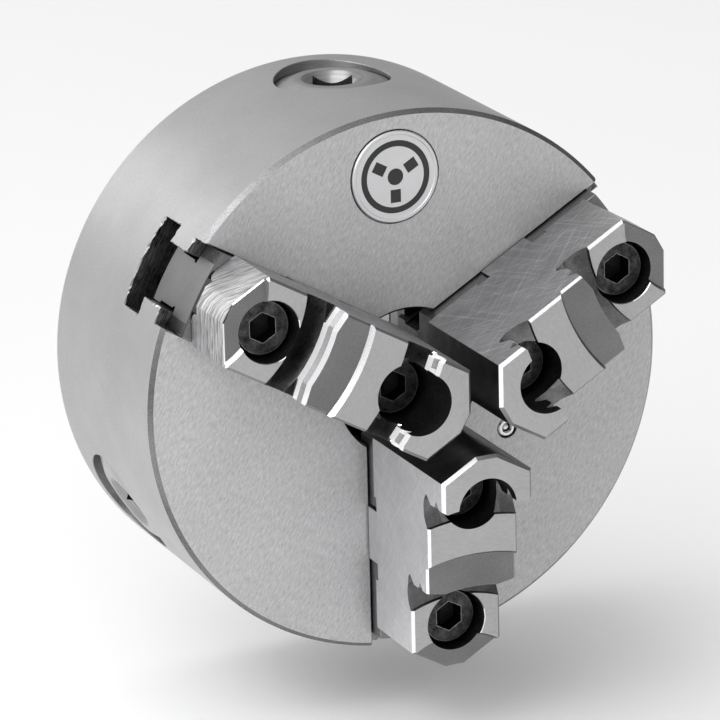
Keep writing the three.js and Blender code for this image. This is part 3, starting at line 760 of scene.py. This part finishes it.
finished("rear_cover_plate", make_cover(), "chuck_body", ["rear_cover"], lambda c, n: "cover")

for i, angle in JAWS.items():
    add_screw(f"cover_cap_screw_{i}", COVER_SCREW, COVER_SCREW_CIRCLE, -REGISTER_DEPTH - 0.4, 11.5,
              "chuck_body", f"cover_screw_{i}", angle, flip=True)
for i, angle in PINIONS.items():
    add_screw(f"pinion_set_screw_{i}", PINION_SCREW, PINION_SCREW_CIRCLE, -0.3, 2.9,
              "chuck_body", f"pinion_screw_{i}", angle, flip=True)


# ---------------------------------------------------------------- badge and oiler
def make_badge():
    """A round plate with a raised rim; a ring, three bars and a dot are sunk in its field and printed."""
    top, field, bottom = above(0.45), above(0.33), below(0.2)
    floor, clear = field + 0.12, field - 1
    r = BADGE_R
    plate = [(r, bottom), (r, top + 0.2), (r - 0.2, top), (r - 0.75, top), (r - 0.9, field)]
    ring = [(8.3, floor), (8.3, clear), (6.9, clear), (6.9, floor)]
    tools = [turned_y(ring, 128, BADGE, hollow=True), turned_y([(1.9, floor), (1.9, clear)], 64, BADGE)]
    for angle in JAWS.values():
        bar = at_angle(prism_y([(2.9, -1.25), (5.9, -1.25), (5.9, 1.25), (2.9, 1.25)], clear, floor), angle)
        bar.data.transform(Matrix.Translation((BADGE[0], 0, BADGE[1])))
        tools.append(bar)
    return cut(turned_y(plate, 160, BADGE), tools)


def badge_face(c, n):
    return "print" if n.y < -0.9 and above(0.25) < c.y < FACE else "plate"


def make_oiler_seat():
    return turned_y([
        (OILER_R, below(7)), (OILER_R, below(0.35)), (OILER_R - 0.3, below(0.1)), (1.25, below(0.1)),
        (0.95, below(0.45)), (0.95, below(0.7)), (1.3, below(0.7)), (1.3, below(4.2)), (0.6, below(4.2)),
        (0.6, below(7)),
    ], 64, OILER, hollow=True)


def make_oiler_ball():
    def ball(bm):
        bmesh.ops.create_uvsphere(bm, u_segments=48, v_segments=32, radius=1.15)
        bmesh.ops.translate(bm, verts=bm.verts, vec=(OILER[0], below(1.6), OILER[1]))

    mesh = bpy.data.meshes.new("ball")
    edited(mesh, ball)
    return linked("ball", mesh)


finished("badge_disc", make_badge(), "chuck_body", ["badge"], badge_face)
# The oiler seat's inner walls take the painted shadow.
finished("oiler_seat", make_oiler_seat(), "chuck_body", ["oiler_cup"],
         lambda c, n: "polished" if n.y < -0.3 else "shadow")
finished("oiler_spring_ball", make_oiler_ball(), "oiler_button", ["oiler_ball"],
         lambda c, n: "polished", sharp=60)


# ---------------------------------------------------------------- pinions
def pinion_outline():
    """Outline of the pinion's toothing with involute flanks, for each millimetre from the apex."""
    base_r = RATIO * math.cos(PRESSURE)
    tip_r, root_r = RATIO + 0.8 * MODULE, RATIO - 1.0 * MODULE

    def involute(a):
        return math.tan(a) - a

    def half_angle(r):
        pitch_half = math.pi / (2 * PINION_TEETH) * TOOTH_FILL
        return pitch_half + involute(PRESSURE) - involute(math.acos(min(1, base_r / r)))

    radii = [root_r + (tip_r - root_r) * k / 6 for k in range(7)]
    flank = [(r, half_angle(max(r, base_r, root_r))) for r in radii]
    points = []
    for tooth in range(PINION_TEETH):
        middle = 2 * math.pi * tooth / PINION_TEETH
        points += [(r, middle - h) for r, h in flank] + [(r, middle + h) for r, h in reversed(flank)]
    return [(r * math.sin(a), -r * math.cos(a)) for r, a in points]


def make_pinion():
    outline = pinion_outline()
    gear = loft([[(r, PINION_Y + b * r, a * r) for a, b in outline] for r in (34, CROWN_OUT + 0.2)])
    head_in, groove_r = REGISTER_R + 0.6, PINION_HEAD_R - 2.8
    groove_in, groove_out = PINION_SCREW_CIRCLE - 2.4, PINION_SCREW_CIRCLE + 2.4
    head = turned_x([
        (head_in, PINION_HEAD_R - 0.4), (head_in + 0.4, PINION_HEAD_R), (groove_in, PINION_HEAD_R),
        (groove_in, groove_r), (groove_out, groove_r), (groove_out, PINION_HEAD_R),
        (PINION_END - 0.1, PINION_HEAD_R), (PINION_END, PINION_HEAD_R - 0.15),
        (KEY_END - 0.08, KEY_FACE_R), (KEY_END, KEY_FACE_R - 0.25),
    ], 128)
    neck = turned_x([(CROWN_OUT - 1, 8), (head_in + 1, 8)], 64)
    stub = turned_x([(19.9, 4.1), (20.3, 4.5), (35, 4.5)], 64)
    made = union(gear, head, neck, stub)
    corner = KEY_HALF * math.sqrt(2)
    square = [(PINION_Y + corner * c, corner * s) for c, s in circle(4, math.pi / 4 + KEY_TURN)]
    socket = prism_x(square, KEY_FLOOR, KEY_END + 1)
    mouth = turned_x([(KEY_END - 2.6, 4.4), (KEY_END - 0.15, 6.85), (KEY_END + 0.15, 7.4)], 96)
    return cut(made, [socket, mouth])


def pinion_face(c, n):
    across = math.hypot(c.y - PINION_Y, c.z)
    if c.x < 46:
        return "gear"
    # The square socket's walls get painted shade.
    if across < 6.6 and c.x < KEY_END - 0.3 and abs(n.x) < 0.2:
        return "master_dark"
    if 0.4 < n.x < 0.95 and c.x > KEY_END - 2.7 and across < 7:
        return "cone"
    # The square socket's floor gets painted shade.
    if c.x < PINION_END - 10 and across < 6.6:
        return "socket"
    return "pinion"


for i, angle in PINIONS.items():
    finished(f"pinion_drive_{i}", make_pinion(), f"pinion_{i}", [f"pinion_{i}"],
             pinion_face, angle)


# ---------------------------------------------------------------- jaws
def wedge_side(nose, nose_half, tail, tail_half, half, inset=0.0):
    """Jaw outline for +z from nose to tail, its ends being 120 degree wedges, drawn in by inset."""
    k = inset / COS30
    shift = (inset - k) / TAN30
    return [
        (nose + inset, nose_half + shift),
        (nose + k + (half - inset - nose_half) * TAN30, half - inset),
        (tail - k - (half - inset - tail_half) * TAN30, half - inset),
        (tail - inset, tail_half + shift),
    ]


def sector(points):
    """Turned about the reversed jaw's centre. The profile gives the jaw's radius at its middle line and y."""
    rings = []
    for k in range(-43, 44):
        a = math.radians(k)
        rings.append([(STEP_CENTRE - (STEP_CENTRE - r) * math.cos(a), y, (STEP_CENTRE - r) * math.sin(a))
                      for r, y in points])
    return loft(rings)


def stepped(profile, level, chamfer):
    """One step of the jaw: what lies under its profile, within the jaw's outline, its upper edges chamfered."""
    seat = above(SEAT + 0.1)

    def outline(inset, y):
        side = wedge_side(NOSE_R, NOSE_HALF, TAIL_R, TAIL_HALF, JAW_HALF, inset)
        return [(x, y, z) for x, z in mirrored(side)]

    shell = loft([outline(0, seat), outline(0, above(level - chamfer)), outline(chamfer, above(level)),
                  outline(chamfer, above(level + 3))])
    if profile is None:
        return common(shell, block(0, 70, above(level), seat + 1, -20, 20))
    points = [(2, seat + 1), (2, above(profile[0][1]))] + [(r, above(h)) for r, h in profile]
    return common(shell, sector(points + [(profile[-1][0], seat + 1)]))


def groove(points):
    return sector([(r, above(h)) for r, h in points])


def make_top_jaw():
    """The stepped jaw: its steps joined, then walls, notches, screw holes and the keyed underside cut."""
    seat = SEAT + 0.1
    made = union(
        stepped([(WALL1, STEP_E)], STEP_E, 0.7),
        stepped([(30.4, STEP_D), (31.2, STEP_C - 0.02)], STEP_D, 0.55),
        stepped([(WALL2, STEP_C)], STEP_C, 0.5),
        stepped([(52.5, STEP_A), (53.1, RECESS - 0.02)], STEP_A, 0.6),
        stepped(None, RECESS, 0.25),
    )
    w1, w2, c, a, d, e = WALL1, WALL2, STEP_C, STEP_A, STEP_D, STEP_E
    tools = [
        groove([(w1 + 1, e - 1.75), (w1, e - 2.2), (w1 - 1.8, e - 3.5), (w1, e - 4.6), (w1 + 1, e - 5.2)]),
        groove([(w1, d + 0.4), (w1 - 2, d - 0.9), (w1 - 1.95, d - 1.3), (w1 - 1.4, d - 1.9),
                (w1 - 0.5, d - 2.25), (w1 + 0.4, d - 2.4), (w1 + 3, d - 2.1), (21.7, d - 0.8), (21.9, d),
                (22, d + 1), (w1, d + 1)]),
        groove([(w2 + 1, c - 2.0), (w2, c - 2.4), (w2 - 1.8, c - 3.5), (w2, c - 4.7), (w2 + 1, c - 5.2)]),
        groove([(w2, a + 0.8), (w2 - 1.7, a - 1), (w2 - 1.6, a - 1.4), (w2 - 1.1, a - 1.9),
                (w2 - 0.3, a - 2.2), (w2 + 0.6, a - 2.3), (w2 + 2.6, a - 2), (43.1, a - 0.9), (43.3, a),
                (43.4, a + 1), (w2, a + 1)]),
    ]
    for side in (1, -1):
        for (x0, z0), (x1, z1), top, notch, foot in (
            ((39.2, 6.3), (38.4, 11), c, c - 2.4, a), ((17.4, 9.6), (16.6, 11), e, e - 2.2, d),
        ):
            flat = [(x0, z0), (x1, z1), (x1 + 3.5, z1 + 1), (x0 + 2.8, z0)]
            tools.append(prism_y([(x, z * side) for x, z in flat], above(top + 1), above(foot - 0.7)))
            slope = (x1 - x0) / (z1 - z0)
            for profile in (
                [(0.6, notch + 0.2), (0, notch), (-1.7, notch - 1.1), (0, notch - 2.3), (0.6, notch - 2.5)],
                [(0, foot + 1.2), (-1.9, foot - 0.8), (-1.2, foot - 1.6), (0.2, foot - 1.9), (2.6, foot - 1.6),
                 (2.6, foot + 1.2)],
            ):
                ends = [(z0 + 0.4) * side, 12 * side]
                tools.append(loft([[(x0 + slope * (abs(z) - z0) + dx, above(h), z) for dx, h in profile]
                                   for z in ends]))
    for radius, floor, _ in SCREWS.values():
        centre = (radius, 0)
        tools.append(turned_y([(4.5, above(50)), (4.5, above(-5))], 64, centre))
        r = COUNTERBORE_R
        tools.append(turned_y([(r, above(50)), (r, above(floor + 0.3)), (r - 0.3, above(floor))], 128, centre))
    rim = [(COUNTERBORE_R + 0.25, above(a + 0.1)), (COUNTERBORE_R, above(a - 0.15))]
    tools.append(turned_y(rim, 128, (SCREWS["outer"][0], 0)))
    half = CROSS_HALF - FIT
    inner, outer = CROSS_MIDDLE - half, CROSS_MIDDLE + half
    tools.append(block(inner - 3.4, inner, above(seat + 1.1), above(seat - 5), -20, 20))
    tools.append(block(outer, outer + 4, above(seat + 1.1), above(seat - 5), -20, 20))
    made = cut(made, tools)
    made = union(made, block(inner, outer, above(seat + 2), above(0.75), -JAW_HALF, JAW_HALF))
    g = RIB_HALF + FIT
    rib_groove = prism_x(mirrored([(above(SEAT + 3.3), g - 0.4), (above(SEAT + 2.9), g), (above(seat + 2), g),
                                   (above(seat + 0.9), g + 0.7), (above(seat - 0.2), g + 2.3),
                                   (above(-2), g + 2.3)]), 0, 70)
    return cut(made, [rib_groove])


def lit_side(n, angle):
    """True where a slanting face looks to the upper left, towards the lights; there its chamfers get the
    painted highlight.
    """
    a = math.radians(angle - 150)
    across = math.hypot(n.x, n.z)
    return across > 0.1 and (n.x * math.cos(a) - n.z * math.sin(a)) / across > 0.72


def top_jaw_finish(angle):
    # Jaw 2's grooves take a darker copy of their finish for painted shade.
    # Jaw 3's sides take a lighter copy of their finish for painted light.
    own = {150: {"jaw_groove": "jaw_groove_shaded_copy"}, 270: {"jaw_side": "jaw_side_lit_copy"}}.get(angle, {})

    def pick(c, n):
        key = top_jaw_face(c, n)
        # Chamfers that do not face the upper left take the painted shade in place of the painted highlight.
        if key == "jaw_bright" and not lit_side(n, angle):
            key = "jaw_edge"
        return own.get(key, key)
    return pick


def top_jaw_face(c, n):
    h = FACE - c.y
    up = -n.y
    for radius, floor, _ in SCREWS.values():
        rr = math.hypot(c.x - radius, c.z)
        # Counterbores and screw holes get painted shade.
        in_bore = rr < COUNTERBORE_R + 0.05 and h > floor - 0.1 and (abs(up) < 0.3 or h < floor + 0.4)
        if in_bore or rr < 4.6:
            return "counterbore"
        # The flare round the outer counterbore gets the painted highlight.
        if rr < COUNTERBORE_R + 0.4 and h > STEP_A - 0.4 and 0.3 < up < 0.9:
            return "jaw_bright"
    if up > 0.99:
        for level in (STEP_E, STEP_D, STEP_C, STEP_A, RECESS):
            if abs(h - level) < 0.05:
                return "jaw_dark" if level in (STEP_C, RECESS) else "jaw_top"
    if abs(n.z) > 0.99 and abs(abs(c.z) - JAW_HALF) < 0.05:
        return "jaw_side"
    if abs(up) < 0.02 and c.x > 54:
        return "jaw_tail"
    # Nose faces get painted shade.
    if abs(up) < 0.02 and c.x < 10.5 and n.x < -0.3:
        return "jaw_nose"
    # Chamfers at the nose and high slanting faces get the painted highlight.
    if 0.6 < up < 0.8 and (c.x < 11 or (abs(n.z) > 0.3 and h > 15)):
        return "jaw_bright"
    # Low faces near the seat get painted shade: the painted shadow between the tongues, the underside's painted
    # shade elsewhere.
    if h < 8:
        return "shadow" if abs(c.z) < 8 else "under"
    # Step chamfers facing out get the painted highlight; at the recess only on the +z side, the other side
    # painted shade.
    if 0.4 < up < 0.95 and n.x > 0.3 and STEP_C - 0.1 < h < STEP_D and c.x > 29:
        return "jaw_bright"
    if 0.4 < up < 0.95 and n.x > 0.3 and RECESS - 0.1 < h < STEP_A and c.x > 51:
        return "jaw_bright" if c.z > 0 else "jaw_edge"
    # The turned walls get the painted light.
    if abs(up) < 0.05 and n.x > 0.5 and (c.x < 19 or 38 < c.x < 42):
        return "jaw_wall"
    notches = ((STEP_C - 5.3, STEP_C - 2.2, 36, 42), (STEP_E - 5.3, STEP_E - 2, 14, 19))
    if up > 0.2 and n.x > 0.2 and any(low < h < high and r0 < c.x < r1 for low, high, r0, r1 in notches):
        return "jaw_notch"
    # All remaining faces are grooves and hollows and take the groove finish's painted shade.
    return "jaw_groove"


def turned_end(radius, half, steps=24):
    return [(math.sqrt(radius ** 2 - (half * k / steps) ** 2), half * k / steps) for k in range(steps, 0, -1)]


def make_master_jaw(angle):
    """The jaw that runs in the slot. Its teeth lie in the spiral's grooves as they are at its angle."""
    wing, neck, foot = SLOT_FRONT_HALF - SLIDE, SLOT_RIB_HALF - SLIDE, SLOT_REAR_HALF - SLIDE
    foot_face = below(CAVITY_FRONT)

    def outline(inset):
        front = wedge_side(MASTER_NOSE_R, NOSE_HALF, 90, 1, wing, inset)[:2]
        return mirrored(front + [(x - inset, z) for x, z in turned_end(MASTER_TAIL_R, wing - inset)])

    def shell(places):
        return loft([[(x, y, z) for x, z in outline(inset)] for y, inset in places])

    wings = shell([(above(SEAT), 0.12), (above(SEAT - 0.12), 0), (below(RIB_FRONT - SLIDE - 0.25), 0),
                   (below(RIB_FRONT - SLIDE), 0.25)])
    neck_profile = mirrored([
        (below(RIB_FRONT - 1), 5.3), (below(RIB_FRONT + 0.35), 5.3), (below(RIB_FRONT + 0.75), 5.75),
        (below(11.3), 5.8), (below(11.5), neck), (below(15), neck),
    ])
    inner = MASTER_NOSE_R + 1
    core = common(prism_x(neck_profile, inner, 62), shell([(below(2), 0), (below(16), 0)]))
    foot_side = wedge_side(inner, NOSE_HALF, 52, foot - 0.5, foot)
    lower = prism_y(mirrored(foot_side), below(RIB_REAR + SLIDE), foot_face)
    rib_side = [(above(SEAT + 3), RIB_HALF - 0.3), (above(SEAT + 2.7), RIB_HALF), (above(2), RIB_HALF)]
    rib = common(prism_x(mirrored(rib_side), inner, 62), shell([(above(9), 0), (above(1), 0)]))
    teeth = []
    start = SPIRAL_START_R + PITCH * angle / 360 + PITCH / 2
    slope = PITCH / (2 * math.pi * 35)
    tip = foot_face + SPIRAL_HEIGHT
    for r in (start + PITCH * k for k in range(-3, 6)):
        if 11.7 < r < 50:
            line = [(z, r - z * z / 70 + slope * z) for z in np.linspace(-6.5, 6.5, 13)]
            teeth.append(loft([[(x + w, y, z) for z, x in line] + [(x - w, y, z) for z, x in reversed(line)]
                               for y, w in ((foot_face - 0.5, 1.2), (tip - 0.3, 1.2), (tip, 0.95))]))
    made = union(wings, core, lower, rib, *teeth)
    half = CROSS_HALF + FIT
    tools = [block(CROSS_MIDDLE - half, CROSS_MIDDLE + half, above(20), above(0.4), -20, 20)]
    for radius, _, _ in SCREWS.values():
        tools.append(turned_y([(4.3, above(10)), (4.3, below(11))], 48, (radius, 0)))
    return cut(made, tools)


def master_face(c, n):
    h = FACE - c.y
    r = math.hypot(c.x, c.z)
    # The top chamfer at the tail takes the painted shadow.
    if h > SEAT - 0.2 and r > MASTER_TAIL_R - 0.5:
        return "shadow"
    out = (n.x * c.x + n.z * c.z) / max(r, 1e-6)
    # The wing ends get painted shade, the middle of the end its own grey.
    if out > 0.9 and r > MASTER_TAIL_R - 0.4 and h > -15.1:
        return "master_dark" if abs(c.z) > 7 else "master_end"
    # The master jaw's nose faces get painted shade.
    if n.x < -0.3 and c.x < 16:
        return "jaw_nose"
    # Faces down in the slot get painted shade.
    if h < -4.3:
        return "master_dark"
    return "master"


for i, angle in JAWS.items():
    body = f"jaw_{i}"
    finished(f"jaw_lower_{i}", make_master_jaw(angle), body, [f"master_jaw_{i}"],
             master_face, angle, smooth=False)
    finished(f"jaw_upper_{i}", make_top_jaw(), body, [f"top_jaw_{i}"],
             top_jaw_finish(angle), angle)
    for name, (radius, floor, length) in SCREWS.items():
        top = above(floor + 0.15 + JAW_SCREW["head_len"])
        add_screw(f"jaw_cap_screw_{name}_{i}", JAW_SCREW, radius, top, length, body,
                  f"jaw_screw_{name}_{i}", angle)


# ---------------------------------------------------------------- scroll plate
def joined(pieces):
    bm = bmesh.new()
    for piece in pieces:
        bm.from_mesh(piece.data)
        bpy.data.objects.remove(piece)
    mesh = bpy.data.meshes.new("joined")
    bm.to_mesh(mesh)
    bm.free()
    return linked("joined", mesh)


def crown_tooth():
    half = math.pi * MODULE / 4 * TOOTH_FILL
    tip, root, slope = 0.8 * MODULE, 1.15 * MODULE, math.tan(PRESSURE)
    break_edge = 0.12 * MODULE
    side = [(half + root * slope, -RATIO - root),
            (half - (tip - break_edge) * slope, -RATIO + tip - break_edge),
            (half - tip * slope - break_edge, -RATIO + tip)]
    section = side + [(-a, b) for a, b in reversed(side)]
    return loft([[(r, PINION_Y + b * r, a * r) for a, b in section] for r in (34.6, CROWN_OUT)])


def make_scroll():
    inner, outer = HUB_R + GAP, SCROLL_R
    tips = below(CAVITY_FRONT + GAP)
    root = tips + SPIRAL_HEIGHT
    rear = below(SCROLL_REAR)

    def foot(r):
        return PINION_Y - r * (RATIO + MODULE)

    disc = turned_y([
        (inner + 0.3, root), (outer - 0.4, root), (outer, root + 0.4), (outer, foot(CROWN_OUT) - 0.4),
        (outer - 0.4, foot(CROWN_OUT)), (CROWN_OUT, foot(CROWN_OUT)), (33.6, foot(33.6)), (33.4, rear),
        (inner + 0.3, rear), (inner, rear - 0.3), (inner, root + 0.3),
    ], 216, hollow=True)
    rings = []
    steps = 84  # for one turn of the spiral
    for i in range(round(SPIRAL_TURNS * steps) + 1):
        turn = i / steps
        a, r = 2 * math.pi * turn, SPIRAL_START_R + PITCH * turn
        section = [(r - 1.3, root + 0.2), (r - 1.3, tips + 0.3), (r - 1.0, tips), (r + 1.0, tips),
                   (r + 1.3, tips + 0.3), (r + 1.3, root + 0.2)]
        rings.append([(rr * math.cos(a), y, rr * math.sin(a)) for rr, y in section])
    band = [(inner, tips - 1), (outer, tips - 1), (outer, root + 1), (inner, root + 1)]
    spiral = common(loft(rings), turned_y(band, 216, hollow=True))
    # a pinion's foremost tooth stands between two crown teeth
    teeth = [at_angle(crown_tooth(), 90 + (i + 0.5) * 360 / CROWN_TEETH) for i in range(CROWN_TEETH)]
    return union(disc, spiral, joined(teeth))


finished("scroll_plate_toothed", make_scroll(), "scroll", ["scroll_plate"],
         lambda c, n: "gear" if c.y > below(27) or n.y > -0.5 else "scroll")


# ---------------------------------------------------------------- camera, floor and light
def place_camera():
    """The photograph's view. Distances are in body radii, the focal length is in pixels."""
    azimuth, elevation, roll = (math.radians(a) for a in (-24.715, 18.434, -1.462))
    aside, down, forward, distance = 0.03294, 0.05566, 0.4, 17.295
    focal, width, sensor = 4734.26, 720, 36
    back = Vector((math.sin(azimuth) * math.cos(elevation), -math.cos(azimuth) * math.cos(elevation),
                   math.sin(elevation)))
    right = (-back).cross(Vector((0, 0, 1))).normalized()
    up = right.cross(-back)
    right, up = (right * math.cos(roll) + up * math.sin(roll), up * math.cos(roll) - right * math.sin(roll))
    r = BODY_R * MM
    target = right * aside * r - up * down * r + Vector((0, -forward * r, 0))
    data = bpy.data.cameras.new("camera")
    camera = linked("camera", data)
    turn = Matrix((right, up, back)).transposed().to_4x4()
    camera.matrix_world = Matrix.Translation(target + back * distance * r) @ turn
    data.sensor_width = sensor
    data.lens = focal / width * sensor
    data.clip_start, data.clip_end = 0.05, 30
    bpy.context.scene.camera = camera


def area_light(name, direction, distance, size, energy, aim=(0, -0.04, 0)):
    data = bpy.data.lights.new(name, "AREA")
    data.shape, data.size, data.energy = "SQUARE", size, energy
    light = linked(name, data)
    d = Vector(direction).normalized()
    light.location = Vector(aim) + d * distance
    light.rotation_mode = "QUATERNION"
    light.rotation_quaternion = d.to_track_quat("Z", "Y")


def make_world():
    """A white surround that fades smoothly from the brighter upper left to the right."""
    world = bpy.data.worlds.new("studio")
    bpy.context.scene.world = world
    world.use_nodes = True
    tree = world.node_tree
    background = tree.nodes["Background"]
    coords = tree.nodes.new("ShaderNodeTexCoord")
    dot = tree.nodes.new("ShaderNodeVectorMath")
    dot.operation = "DOT_PRODUCT"
    dot.inputs[1].default_value = Vector((-0.72, 0.0, 0.4)).normalized()
    tree.links.new(coords.outputs["Generated"], dot.inputs[0])
    level = tree.nodes.new("ShaderNodeMapRange")
    level.interpolation_type = "SMOOTHSTEP"
    for key, value in (("From Min", -0.9), ("From Max", 0.9), ("To Min", 0.28), ("To Max", 0.95)):
        level.inputs[key].default_value = value
    tree.links.new(dot.outputs["Value"], level.inputs["Value"])
    tree.links.new(level.outputs["Result"], background.inputs["Strength"])
    background.inputs["Color"].default_value = (1, 1, 1, 1)


def make_floor():
    size = 6.0
    z = -(TAIL_R + JAW_TRAVEL + 0.5) * MM  # clear of the opened lowest jaw
    mesh = bpy.data.meshes.new("floor")
    corners = [(-size, -size, z), (size, -size, z), (size, size, z), (-size, size, z)]
    mesh.from_pydata(corners, [], [(0, 1, 2, 3)])
    floor = linked("floor", mesh)
    material = bpy.data.materials.new("floor_pale")
    material.use_nodes = True
    bsdf = material.node_tree.nodes["Principled BSDF"]
    bsdf.inputs["Base Color"].default_value = (0.95, 0.95, 0.95, 1)
    bsdf.inputs["Roughness"].default_value = 0.7
    mesh.materials.append(material)


place_camera()
make_floor()
make_world()
area_light("key", (-0.62, -0.5, 0.6), 0.4, 0.24, 0.55)
area_light("top", (-0.4, 0.0, 1.0), 1.7, 1.4, 9)
area_light("rim", (-0.38, 0.86, 0.36), 1.5, 0.5, 1.2)
bpy.context.scene.view_settings.view_transform = "Standard"
